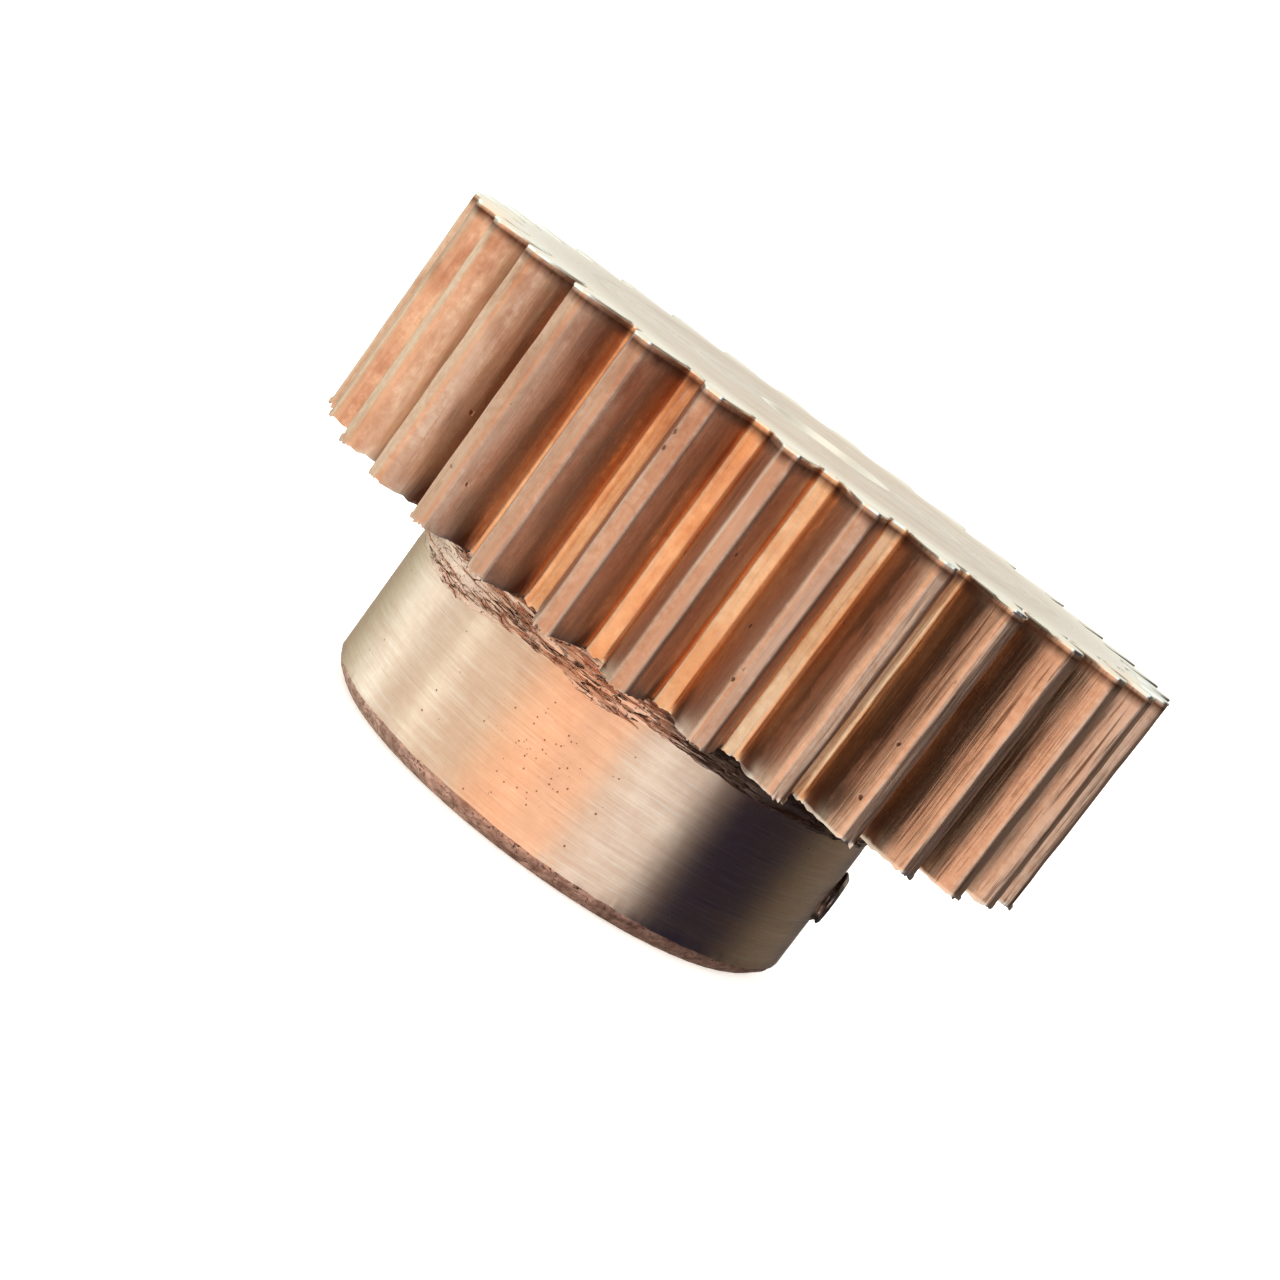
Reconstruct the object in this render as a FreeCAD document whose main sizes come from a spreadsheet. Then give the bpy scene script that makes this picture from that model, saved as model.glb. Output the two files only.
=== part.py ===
"""Bronze toothed wheel of a worm gear set, with the set screw that holds it on its shaft.

The wheel's axis is +Z and its toothed rim is at the top. The origin is on that axis, on the hub's
flat end face. The set screw lies along +X, half way down the hub, and slides in along that line.
All sizes are in millimetres.
"""
import FreeCAD, Part
import math
import os

import Sketcher

ORIGIN = FreeCAD.Vector(0, 0, 0)
Z_AXIS = FreeCAD.Vector(0, 0, 1)
Y_AXIS = FreeCAD.Vector(0, 1, 0)

# The sketcher numbers its fixed elements and the points of a curve like this.
START, END, CENTRE = 1, 2, 3
H_AXIS, V_AXIS = -1, -2
ROOT = (-1, START)

# Driving dimensions: alias, value, meaning.
SIZES = [
    ("tooth_module", 1.5, "pitch diameter divided by the tooth count"),
    ("tooth_count", 32, "teeth round the rim"),
    ("pressure_angle", 20, "degrees, on the pitch circle"),
    ("addendum", 1.5, "tooth height outside the pitch circle"),
    ("dedendum", 1.875, "tooth depth inside the pitch circle"),
    ("gap_corner", 0.2, "radius in the two corners of a tooth gap"),
    ("face_width", 15, "length of the teeth along the axis"),
    ("hub_radius", 16.5, "turned hub"),
    ("hub_length", 13, "hub below the rim"),
    ("hub_fillet", 2.5, "radius where the hub meets the rim"),
    ("edge_height", 1.25, "hub end chamfer, along the axis"),
    ("edge_depth", 1, "hub end chamfer, towards the axis"),
    ("bore_radius", 4, "through bore for the shaft"),
    ("bore_edge", 0.2, "chamfer at both mouths of the bore"),
    ("screw_radius", 2, "major radius of the M4 thread"),
    ("screw_clearance", 0.03, "gap round the screw in its tapped hole"),
    ("screw_length", 12, "set screw, end to end"),
    ("screw_height", 6, "screw axis above the hub's end face"),
    ("screw_start", 5, "cup point's distance from the wheel's axis"),
    ("socket_end_chamfer", 0.35, "chamfer round the socket end"),
    ("point_chamfer", 0.6, "chamfer round the cup point"),
    ("socket_corner", 1.155, "hexagon socket, centre to corner: 2 mm across its flats"),
    ("socket_depth", 2, "depth of the hexagon socket"),
    ("cup_radius", 1.1, "mouth of the cup point"),
    ("cup_depth", 0.65, "depth of the cup point"),
]


def make_sheet(doc):
    """Puts every driving dimension in a spreadsheet, one aliased cell each."""
    sheet = doc.addObject("Spreadsheet::Sheet", "sizes")
    for row, (alias, value, meaning) in enumerate(SIZES, start=1):
        sheet.set(f"A{row}", meaning)
        sheet.set(f"B{row}", str(value))
        sheet.setAlias(f"B{row}", alias)
    doc.recompute()
    return sheet


def origin_feature(body, role):
    """Finds one of the body's own origin planes or axes."""
    for feature in body.Origin.OriginFeatures:
        if feature.Role == role:
            return feature
    raise RuntimeError("no origin feature " + role)


def add_sketch(body, name, plane, height=None, turn=None):
    """Adds a sketch on an origin plane, raised along its normal and turned in its own plane."""
    sketch = body.newObject("Sketcher::SketchObject", name)
    sketch.AttachmentSupport = [(origin_feature(body, plane), "")]
    sketch.MapMode = "FlatFace"
    if height:
        sketch.setExpression("AttachmentOffset.Base.z", height)
    if turn:
        sketch.AttachmentOffset = FreeCAD.Placement(ORIGIN, FreeCAD.Rotation(Z_AXIS, 1))
        sketch.setExpression("AttachmentOffset.Rotation.Angle", turn)
    return sketch


def dimension(sketch, kind, *elements, value, expression):
    """Adds a dimension and binds it to the sheet."""
    index = sketch.addConstraint(Sketcher.Constraint(kind, *elements, value))
    sketch.setExpression(f"Constraints[{index}]", expression)


def tie(sketch, kind, *elements):
    """Adds a constraint that has no size."""
    return sketch.addConstraint(Sketcher.Constraint(kind, *elements))


def circle_sketch(body, name, plane, radius, height=None, centre_height=None):
    """One circle on the sketch's centre, or straight above it by centre_height."""
    sketch = add_sketch(body, name, plane, height)
    start = FreeCAD.Vector(0, 1 if centre_height else 0, 0)
    circle = sketch.addGeometry(Part.Circle(start, Z_AXIS, 1))
    if centre_height:
        tie(sketch, "PointOnObject", circle, CENTRE, V_AXIS)
        dimension(sketch, "DistanceY", *ROOT, circle, CENTRE, value=1.0, expression=centre_height)
    else:
        tie(sketch, "Coincident", circle, CENTRE, *ROOT)
    dimension(sketch, "Radius", circle, value=1.0, expression=radius)
    return sketch


def add_pad(body, name, sketch, length):
    """Adds material from the sketch along its normal."""
    pad = body.newObject("PartDesign::Pad", name)
    pad.Profile = sketch
    pad.setExpression("Length", length)
    body.Document.recompute()
    return pad


def add_pocket(body, name, sketch, length, upwards=False):
    """Removes material from the sketch, against its normal unless upwards, and proves that it cut."""
    before = body.Shape.Volume
    pocket = body.newObject("PartDesign::Pocket", name)
    pocket.Profile = sketch
    pocket.Reversed = upwards
    pocket.setExpression("Length", length)
    body.Document.recompute()
    must_have_cut(body, name, before)
    return pocket


def must_have_cut(body, name, volume_before):
    """Stops if a cutting feature has removed nothing."""
    if body.Shape.Volume >= volume_before:
        raise RuntimeError(name + " cuts nothing")


def round_edges(shape, radius, heights):
    """Names the circular edges of one radius, centred on the Z axis, at the given heights."""
    names = []
    for number, edge in enumerate(shape.Edges, start=1):
        curve = edge.Curve
        if not isinstance(curve, Part.Circle) or abs(curve.Radius - radius) > 1e-6:
            continue
        if any(abs(curve.Center.z - height) < 1e-6 for height in heights):
            names.append(f"Edge{number}")
    if len(names) != len(heights):
        raise RuntimeError(f"found {len(names)} of {len(heights)} edges of radius {radius}")
    return names


def add_chamfer(body, name, edges, along, across=None):
    """Bevels edges equally, or with a first distance along the axis and a second across it."""
    base = body.Tip
    chamfer = body.newObject("PartDesign::Chamfer", name)
    chamfer.Base = (base, edges)
    if across:
        chamfer.ChamferType = "Two distances"
        chamfer.setExpression("Size2", across)
    chamfer.setExpression("Size", along)
    body.Tip = chamfer
    body.Document.recompute()
    return chamfer


def crossing(centre_one, radius_one, centre_two, radius_two):
    """The point where two circles cross, to the right of the line from the first to the second."""
    between = centre_two - centre_one
    reach = between.Length
    along = (reach ** 2 + radius_one ** 2 - radius_two ** 2) / (2 * reach)
    across = math.sqrt(radius_one ** 2 - along ** 2)
    unit = between / reach
    side = FreeCAD.Vector(unit.y, -unit.x, 0)
    return centre_one + unit * along + side * across


def arc(centre, radius, first, last):
    """An arc running anticlockwise from the direction of one point to that of another."""
    angles = [math.atan2(point.y - centre.y, point.x - centre.x) for point in (first, last)]
    return Part.ArcOfCircle(Part.Circle(centre, Z_AXIS, radius), *angles)


def mirrored(point):
    """The same point on the other side of the gap's middle line."""
    return FreeCAD.Vector(point.x, -point.y, 0)


def tooth_gap_sketch(body, sheet):
    """The space between two teeth, open outwards, its middle half a pitch round from +X.

    Each flank is the circular arc that has the involute's own curvature on the pitch circle: its
    centre is the point where the line of action touches the base circle.
    """
    sketch = add_sketch(body, "tooth_gap", "XY_Plane", "sizes.hub_length", "180 / sizes.tooth_count")
    pitch_radius = sheet.tooth_module * sheet.tooth_count / 2
    pressure = math.radians(sheet.pressure_angle)
    root_radius = pitch_radius - sheet.dedendum
    corner = sheet.gap_corner
    flank_radius = pitch_radius * math.sin(pressure)
    flank_direction = math.radians(90 / sheet.tooth_count) + pressure
    base_radius = pitch_radius * math.cos(pressure)
    outside = pitch_radius + 2 * sheet.addendum

    flank_centre = FreeCAD.Vector(math.cos(flank_direction), math.sin(flank_direction), 0) * base_radius
    corner_centre = crossing(ORIGIN, root_radius + corner, flank_centre, flank_radius + corner)
    floor_end = corner_centre * (root_radius / corner_centre.Length)
    to_corner = (corner_centre - flank_centre).normalize()
    flank_start = flank_centre + to_corner * flank_radius
    drop = math.sqrt(flank_radius ** 2 - (outside - flank_centre.x) ** 2)
    flank_end = FreeCAD.Vector(outside, flank_centre.y - drop, 0)

    floor = sketch.addGeometry(arc(ORIGIN, root_radius, mirrored(floor_end), floor_end))
    upper = sketch.addGeometry(arc(flank_centre, flank_radius, flank_start, flank_end))
    lower = sketch.addGeometry(
        arc(mirrored(flank_centre), flank_radius, mirrored(flank_end), mirrored(flank_start))
    )
    upper_corner = sketch.addGeometry(arc(corner_centre, corner, flank_start, floor_end))
    lower_corner = sketch.addGeometry(
        arc(mirrored(corner_centre), corner, mirrored(floor_end), mirrored(flank_start))
    )
    mouth = sketch.addGeometry(Part.LineSegment(mirrored(flank_end), flank_end))

    tie(sketch, "Coincident", floor, CENTRE, *ROOT)
    tie(sketch, "Tangent", floor, END, upper_corner, END)
    tie(sketch, "Tangent", upper_corner, START, upper, START)
    tie(sketch, "Tangent", floor, START, lower_corner, START)
    tie(sketch, "Tangent", lower_corner, END, lower, END)
    tie(sketch, "Coincident", mouth, START, lower, START)
    tie(sketch, "Coincident", mouth, END, upper, END)
    tie(sketch, "Vertical", mouth)
    tie(sketch, "Equal", upper, lower)
    tie(sketch, "Equal", upper_corner, lower_corner)
    tie(sketch, "Symmetric", upper, CENTRE, lower, CENTRE, H_AXIS)

    pitch = "sizes.tooth_module * sizes.tooth_count / 2"
    base = f"{pitch} * cos(sizes.pressure_angle)"
    direction = "90 / sizes.tooth_count + sizes.pressure_angle"
    dimension(sketch, "Radius", floor, value=root_radius, expression=f"{pitch} - sizes.dedendum")
    dimension(sketch, "Radius", upper_corner, value=corner, expression="sizes.gap_corner")
    dimension(
        sketch, "Radius", upper, value=flank_radius, expression=f"{pitch} * sin(sizes.pressure_angle)"
    )
    dimension(
        sketch, "DistanceX", *ROOT, upper, CENTRE,
        value=flank_centre.x, expression=f"{base} * cos({direction})",
    )
    dimension(
        sketch, "DistanceY", *ROOT, upper, CENTRE,
        value=flank_centre.y, expression=f"{base} * sin({direction})",
    )
    dimension(
        sketch, "DistanceX", *ROOT, mouth, END,
        value=outside, expression=f"{pitch} + 2 * sizes.addendum",
    )
    return sketch


def make_wheel(doc, sheet):
    """Rim, hub and teeth in one bronze body, as it is cast, turned, cut and drilled."""
    body = doc.addObject("PartDesign::Body", "worm_wheel")
    tip_radius = "sizes.tooth_module * sizes.tooth_count / 2 + sizes.addendum"
    total_length = sheet.hub_length + sheet.face_width

    rim = circle_sketch(body, "rim_circle", "XY_Plane", tip_radius, height="sizes.hub_length")
    add_pad(body, "rim", rim, "sizes.face_width")
    hub = circle_sketch(body, "hub_circle", "XY_Plane", "sizes.hub_radius")
    add_pad(body, "hub", hub, "sizes.hub_length")

    corner = round_edges(body.Shape, sheet.hub_radius, [sheet.hub_length])
    base = body.Tip
    fillet = body.newObject("PartDesign::Fillet", "hub_root")
    fillet.Base = (base, corner)
    fillet.setExpression("Radius", "sizes.hub_fillet")
    body.Tip = fillet
    doc.recompute()

    hub_edge = round_edges(body.Shape, sheet.hub_radius, [0])
    add_chamfer(body, "hub_end", hub_edge, "sizes.edge_height", "sizes.edge_depth")

    bore = circle_sketch(body, "bore_circle", "XY_Plane", "sizes.bore_radius")
    add_pocket(body, "bore", bore, "sizes.hub_length + sizes.face_width", upwards=True)
    mouths = round_edges(body.Shape, sheet.bore_radius, [0, total_length])
    add_chamfer(body, "bore_mouths", mouths, "sizes.bore_edge")

    screw_circle = circle_sketch(
        body, "screw_circle", "YZ_Plane",
        "sizes.screw_radius + sizes.screw_clearance", centre_height="sizes.screw_height",
    )
    add_pocket(body, "screw_hole", screw_circle, "sizes.hub_radius + 1", upwards=True)

    gap = add_pocket(body, "gap", tooth_gap_sketch(body, sheet), "sizes.face_width", upwards=True)
    pattern = body.newObject("PartDesign::PolarPattern", "teeth")
    pattern.Originals = [gap]
    pattern.Axis = (origin_feature(body, "Z_Axis"), [""])
    pattern.Angle = 360
    pattern.setExpression("Occurrences", "sizes.tooth_count")
    before = body.Shape.Volume
    body.Tip = pattern
    doc.recompute()
    must_have_cut(body, "teeth", before)
    return body


def hexagon_sketch(body, name):
    """The hexagon of the socket, on the screw's socket end, with two corners across the hub."""
    sketch = add_sketch(body, name, "XY_Plane", "sizes.screw_length")
    ring = sketch.addGeometry(Part.Circle(ORIGIN, Z_AXIS, 1), True)
    tie(sketch, "Coincident", ring, CENTRE, *ROOT)
    dimension(sketch, "Radius", ring, value=1.0, expression="sizes.socket_corner")
    corners = [FreeCAD.Vector(math.cos(turn), math.sin(turn), 0)
               for turn in (math.pi / 3 * side for side in range(6))]
    lines = [sketch.addGeometry(Part.LineSegment(corners[side], corners[(side + 1) % 6]))
             for side in range(6)]
    for side in range(6):
        tie(sketch, "Coincident", lines[side], END, lines[(side + 1) % 6], START)
        tie(sketch, "PointOnObject", lines[side], START, ring)
    for side in range(1, 6):
        tie(sketch, "Equal", lines[0], lines[side])
    tie(sketch, "PointOnObject", lines[0], START, H_AXIS)
    return sketch


def cup_sketch(body):
    """Half the section of the hollow in the screw's point."""
    sketch = add_sketch(body, "cup_section", "XZ_Plane")
    rim = FreeCAD.Vector(1, 0, 0)
    bottom = FreeCAD.Vector(0, 0.5, 0)
    across = sketch.addGeometry(Part.LineSegment(ORIGIN, rim))
    slope = sketch.addGeometry(Part.LineSegment(rim, bottom))
    middle = sketch.addGeometry(Part.LineSegment(bottom, ORIGIN))
    tie(sketch, "Coincident", across, START, *ROOT)
    tie(sketch, "Coincident", across, END, slope, START)
    tie(sketch, "Coincident", slope, END, middle, START)
    tie(sketch, "Coincident", middle, END, across, START)
    tie(sketch, "Horizontal", across)
    tie(sketch, "Vertical", middle)
    dimension(sketch, "DistanceX", across, START, across, END, value=1.0, expression="sizes.cup_radius")
    dimension(sketch, "DistanceY", middle, END, middle, START, value=0.5, expression="sizes.cup_depth")
    return sketch


def make_screw(doc, sheet):
    """Steel set screw with a hexagon socket and a cup point, built standing on its point."""
    body = doc.addObject("PartDesign::Body", "set_screw")
    shank = circle_sketch(body, "shank_circle", "XY_Plane", "sizes.screw_radius")
    add_pad(body, "shank", shank, "sizes.screw_length")
    socket_edge = round_edges(body.Shape, sheet.screw_radius, [sheet.screw_length])
    add_chamfer(body, "socket_end", socket_edge, "sizes.socket_end_chamfer")
    point_edge = round_edges(body.Shape, sheet.screw_radius, [0])
    add_chamfer(body, "point", point_edge, "sizes.point_chamfer")
    add_pocket(body, "socket", hexagon_sketch(body, "socket_hexagon"), "sizes.socket_depth")

    before = body.Shape.Volume
    section = cup_sketch(body)
    cup = body.newObject("PartDesign::Groove", "cup")
    cup.Profile = section
    cup.ReferenceAxis = (section, ["V_Axis"])
    cup.Angle = 360
    doc.recompute()
    must_have_cut(body, "cup", before)

    body.Placement = FreeCAD.Placement(ORIGIN, FreeCAD.Rotation(Y_AXIS, 90))
    body.setExpression("Placement.Base.x", "sizes.screw_start")
    body.setExpression("Placement.Base.z", "sizes.screw_height")
    doc.recompute()
    return body


def check(doc, bodies):
    """Stops on a failed feature or an empty or invalid solid."""
    for item in doc.Objects:
        if "Invalid" in item.State or "Error" in item.State:
            raise RuntimeError(f"{item.Name} failed: {item.State}")
    for body in bodies:
        if body.Shape.isNull() or not body.Shape.isValid() or len(body.Shape.Solids) != 1:
            raise RuntimeError(body.Label + " is not one valid solid")


def write_parts(bodies):
    """Writes each piece to a STEP file named after it."""
    os.makedirs("parts", exist_ok=True)
    for body in bodies:
        body.Shape.exportStep(f"parts/{body.Label}.step")
        box = body.Shape.BoundBox
        print(f"{body.Label}: {body.Shape.Volume:.1f} mm3, x {box.XMin:.2f} to {box.XMax:.2f}, "
              f"y {box.YMin:.2f} to {box.YMax:.2f}, z {box.ZMin:.2f} to {box.ZMax:.2f}")


def main():
    doc = FreeCAD.newDocument("worm_wheel_part")
    sheet = make_sheet(doc)
    bodies = [make_wheel(doc, sheet), make_screw(doc, sheet)]
    doc.recompute()
    check(doc, bodies)
    write_parts(bodies)


main()
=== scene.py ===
"""Looks for the worm gear wheel: a cast and cut bronze wheel with its steel set screw.

Lengths are in millimetres and are scaled to metres when meshes are made; only names that end in _M,
for the floor and the lamp, are in metres. The wheel's axis is +Z, the toothed face is up, and the
set screw lies along +X.
"""

import math
import random

import bpy
import numpy as np
from mathutils import Matrix, Vector, noise


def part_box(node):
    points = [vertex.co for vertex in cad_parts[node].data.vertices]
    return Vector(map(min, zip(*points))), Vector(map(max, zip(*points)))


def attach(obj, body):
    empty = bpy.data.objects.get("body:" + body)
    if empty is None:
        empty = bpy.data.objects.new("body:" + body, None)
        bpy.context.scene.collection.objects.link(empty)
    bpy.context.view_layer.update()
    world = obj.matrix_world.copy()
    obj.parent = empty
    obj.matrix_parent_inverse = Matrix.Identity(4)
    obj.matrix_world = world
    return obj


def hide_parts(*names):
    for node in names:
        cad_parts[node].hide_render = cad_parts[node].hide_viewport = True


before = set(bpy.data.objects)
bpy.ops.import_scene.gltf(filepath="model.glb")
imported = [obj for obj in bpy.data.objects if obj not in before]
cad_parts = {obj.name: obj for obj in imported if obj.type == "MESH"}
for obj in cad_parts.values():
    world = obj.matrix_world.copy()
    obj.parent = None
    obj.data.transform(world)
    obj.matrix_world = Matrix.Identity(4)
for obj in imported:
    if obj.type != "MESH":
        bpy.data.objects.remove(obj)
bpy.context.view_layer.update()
MM = 0.001

# Wheel sizes, read from the frame's own boxes where they show there.
WHEEL_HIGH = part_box("worm_wheel")[1]
SCREW_LOW, SCREW_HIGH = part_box("set_screw")
TOP = WHEEL_HIGH.z / MM
TIP_RADIUS = WHEEL_HIGH.x / MM
TOOTH_COUNT = 32
TOOTH_MODULE = TIP_RADIUS / (TOOTH_COUNT / 2 + 1)
PITCH_RADIUS = TOOTH_MODULE * TOOTH_COUNT / 2
ROOT_RADIUS = PITCH_RADIUS - 1.25 * TOOTH_MODULE
PRESSURE_ANGLE = math.radians(20)
GAP_ROUND = 0.42
TIP_ROUND = 0.30
FACE_EDGE = 21.6
HALF_PITCH = math.pi / TOOTH_COUNT
FACE_WIDTH = 15.0
RIM_BOTTOM = TOP - FACE_WIDTH
HUB_RADIUS = 16.5
HUB_FILLET = 2.5
EDGE_HEIGHT = 1.25
EDGE_DEPTH = 1.0
BORE_RADIUS = 4.0
BORE_EDGE = 0.36
CHAMFER_TOP = EDGE_HEIGHT - 0.15

# The torn band under the rim: its usual lower edge, and how much of the way down to that edge the
# fillet's rows follow it where the edge lies above them.
TORN_EDGE = 10.8
TORN_FOLLOW = 0.96
# Where the band hangs lower: direction and width in degrees, drop in mm.
TORN_LOBES = ((-137.5, 24, 1.5), (-94.5, 7, 0.75), (-60, 30, 0.15), (10, 35, 0.7),
              (75, 28, 1.1), (125, 20, 0.6), (170, 30, 1.2))

# Set screw sizes.
SCREW_RADIUS = (SCREW_HIGH.y - SCREW_LOW.y) / 2 / MM
SCREW_START = SCREW_LOW.x / MM
SCREW_END = SCREW_HIGH.x / MM
SCREW_HEIGHT = (SCREW_HIGH.z + SCREW_LOW.z) / 2 / MM
HOLE_RADIUS = SCREW_RADIUS + 0.03
THREAD_PITCH = 0.7
THREAD_DEPTH = 0.38
CUP_RADIUS = 1.15
SOCKET_SIZE = 2.0
SOCKET_DEPTH = 2.0

# The floor under the wheel and the lamp over it, in metres. The floor lies a hair below the hub's
# end, so that the two never share a plane.
FLOOR_GAP_M = 0.00005
FLOOR_FLAT_M = 1.1
FLOOR_BEND_M = 0.9
WALL_TOP_M = 4.0
LAMP_SIZE_M = 1.4
LAMP_HEIGHT_M = 1.1


# ---------------------------------------------------------------- camera

# Where the camera stands, seen from the middle of the top face.
CAMERA_DISTANCE = 150.5
CAMERA_ELEVATION = math.radians(2.65)
CAMERA_AZIMUTH = math.radians(2.47)
# How it is aimed: aside, down, and turned about its own line of sight.
CAMERA_YAW = math.radians(-0.75)
CAMERA_PITCH = math.radians(8.78)
CAMERA_ROLL = math.radians(36.38)
LENS_MM = 70.2


def add_camera():
    """Low beside the wheel, tipped down a little and rolled, so the axis leans to the right."""
    data = bpy.data.cameras.new("camera")
    data.lens = LENS_MM
    data.sensor_width = 36
    data.clip_start = 0.01
    data.clip_end = 20
    camera = bpy.data.objects.new("camera", data)
    bpy.context.scene.collection.objects.link(camera)
    turn = Matrix.Rotation(CAMERA_AZIMUTH, 3, "Z")
    away = Vector((0, -math.cos(CAMERA_ELEVATION), math.sin(CAMERA_ELEVATION)))
    place = turn @ away * CAMERA_DISTANCE + Vector((0, 0, TOP))
    level = math.cos(CAMERA_PITCH)
    forward = turn @ Vector(
        (math.sin(CAMERA_YAW) * level, math.cos(CAMERA_YAW) * level, -math.sin(CAMERA_PITCH))
    )
    right = turn @ Vector((math.cos(CAMERA_YAW), -math.sin(CAMERA_YAW), 0))
    up = right.cross(forward)
    camera_x = right * math.cos(CAMERA_ROLL) + up * math.sin(CAMERA_ROLL)
    camera_y = up * math.cos(CAMERA_ROLL) - right * math.sin(CAMERA_ROLL)
    axes = Matrix((camera_x, camera_y, -forward)).transposed()
    camera.matrix_world = Matrix.Translation(place * MM) @ axes.to_4x4()
    bpy.context.scene.camera = camera
    return camera


add_camera()


# ---------------------------------------------------------------- materials

def new_material(name):
    """An empty node tree with a Principled shader, and mm coordinates to paint it with."""
    material = bpy.data.materials.new(name)
    material.use_nodes = True
    tree = material.node_tree
    shader = tree.nodes["Principled BSDF"]
    place = tree.nodes.new("ShaderNodeTexCoord")
    scaled = tree.nodes.new("ShaderNodeVectorMath")
    scaled.operation = "SCALE"
    scaled.inputs["Scale"].default_value = 1 / MM
    tree.links.new(place.outputs["Object"], scaled.inputs[0])
    return material, tree, shader, scaled.outputs["Vector"]


def stretched(tree, vector, stretch):
    """The coordinates multiplied by a different amount along each axis."""
    node = tree.nodes.new("ShaderNodeVectorMath")
    node.operation = "MULTIPLY"
    node.inputs[1].default_value = stretch
    tree.links.new(vector, node.inputs[0])
    return node.outputs["Vector"]


def radius_of(tree, vector):
    """Coordinates whose first part is the distance from the wheel's axis."""
    flat = tree.nodes.new("ShaderNodeVectorMath")
    flat.operation = "MULTIPLY"
    flat.inputs[1].default_value = (1, 1, 0)
    tree.links.new(vector, flat.inputs[0])
    length = tree.nodes.new("ShaderNodeVectorMath")
    length.operation = "LENGTH"
    tree.links.new(flat.outputs["Vector"], length.inputs[0])
    parts = tree.nodes.new("ShaderNodeCombineXYZ")
    tree.links.new(length.outputs["Value"], parts.inputs["X"])
    return parts.outputs["Vector"]


def noise_value(tree, vector, scale, detail=3.0, roughness=0.55, twist=0.0):
    """Fractal noise, from 0 to 1."""
    node = tree.nodes.new("ShaderNodeTexNoise")
    node.inputs["Scale"].default_value = scale
    node.inputs["Detail"].default_value = detail
    node.inputs["Roughness"].default_value = roughness
    node.inputs["Distortion"].default_value = twist
    tree.links.new(vector, node.inputs["Vector"])
    return node.outputs["Fac"]


def ramp(tree, value, stops):
    """A colour ramp; each stop is a position and a grey level or a colour."""
    node = tree.nodes.new("ShaderNodeValToRGB")
    elements = node.color_ramp.elements
    while len(elements) < len(stops):
        elements.new(0.5)
    for element, (position, colour) in zip(elements, stops):
        element.position = position
        shade = (colour,) * 3 if isinstance(colour, (int, float)) else colour
        element.color = (*shade, 1)
    tree.links.new(value, node.inputs["Fac"])
    return node.outputs["Color"]


def combine(tree, operation, one, two):
    """A Math node on two values, either of which may be a number."""
    node = tree.nodes.new("ShaderNodeMath")
    node.operation = operation
    for socket, value in zip(node.inputs, (one, two)):
        if isinstance(value, (int, float)):
            socket.default_value = value
        else:
            tree.links.new(value, socket)
    return node.outputs["Value"]


def mix_colour(tree, factor, one, two, blend="MIX"):
    """Two colours mixed by a factor; either may be given as numbers."""
    node = tree.nodes.new("ShaderNodeMix")
    node.data_type = "RGBA"
    node.blend_type = blend
    for socket, value in zip((node.inputs[0], node.inputs[6], node.inputs[7]), (factor, one, two)):
        if isinstance(value, (int, float)):
            socket.default_value = value
        elif isinstance(value, tuple):
            socket.default_value = (*value, 1)
        else:
            tree.links.new(value, socket)
    return node.outputs[2]


def bump(tree, height, distance, normal=None):
    """Surface relief of the given depth in mm, on top of the relief in normal."""
    node = tree.nodes.new("ShaderNodeBump")
    node.inputs["Strength"].default_value = 1.0
    node.inputs["Distance"].default_value = distance * MM
    tree.links.new(height, node.inputs["Height"])
    if normal:
        tree.links.new(normal, node.inputs["Normal"])
    return node.outputs["Normal"]


def distance_to(tree, vector, point):
    """Distance in mm from a point."""
    node = tree.nodes.new("ShaderNodeVectorMath")
    node.operation = "DISTANCE"
    node.inputs[1].default_value = point
    tree.links.new(vector, node.inputs[0])
    return node.outputs["Value"]


def add_all(tree, *values):
    """The sum of several values."""
    total = values[0]
    for value in values[1:]:
        total = combine(tree, "ADD", total, value)
    return total


def times(tree, one, two):
    """The product of two values."""
    return combine(tree, "MULTIPLY", one, two)


def attribute(tree, name):
    """A mask that was painted on the mesh's points."""
    node = tree.nodes.new("ShaderNodeAttribute")
    node.attribute_name = name
    return node.outputs["Fac"]


def pits(tree, vector, cells_per_mm, largest, density):
    """Small ragged casting pits: 1 in a pit and 0 outside. density says where they may be."""
    cells = tree.nodes.new("ShaderNodeTexVoronoi")
    cells.inputs["Scale"].default_value = cells_per_mm
    tree.links.new(vector, cells.inputs["Vector"])
    parts = tree.nodes.new("ShaderNodeSeparateColor")
    tree.links.new(cells.outputs["Color"], parts.inputs["Color"])
    chance = combine(tree, "LESS_THAN", parts.outputs["Green"], density)
    ragged = add_all(tree, times(tree, noise_value(tree, vector, 5.0, 2.0), 0.16), -0.08)
    size = add_all(tree, times(tree, parts.outputs["Red"], largest), 0.5 * largest)
    inside = add_all(tree, size, times(tree, add_all(tree, cells.outputs["Distance"], ragged), -1.0))
    mask = ramp(tree, add_all(tree, inside, 0.42), [(0.40, 0.0), (0.47, 1.0)])
    return times(tree, mask, chance)


# Colours of the marks on the turned faces.
MARK_SHADE = (0.62, 0.37, 0.24)
MARK_GLINT = (1.0, 0.84, 0.70)
# Brighter metal towards the top face's rim, partly wear and partly a painted highlight, and the painted
# white highlight at the bore's mouth.
RUBBED_AND_HIGHLIGHT = (0.99, 0.93, 0.80)
TURNED_PIT = (0.40, 0.20, 0.11)
# The middle of the hub's thick patch of pits.
PIT_CLUSTER = (-1.4, -16.4, 5.3)
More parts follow.
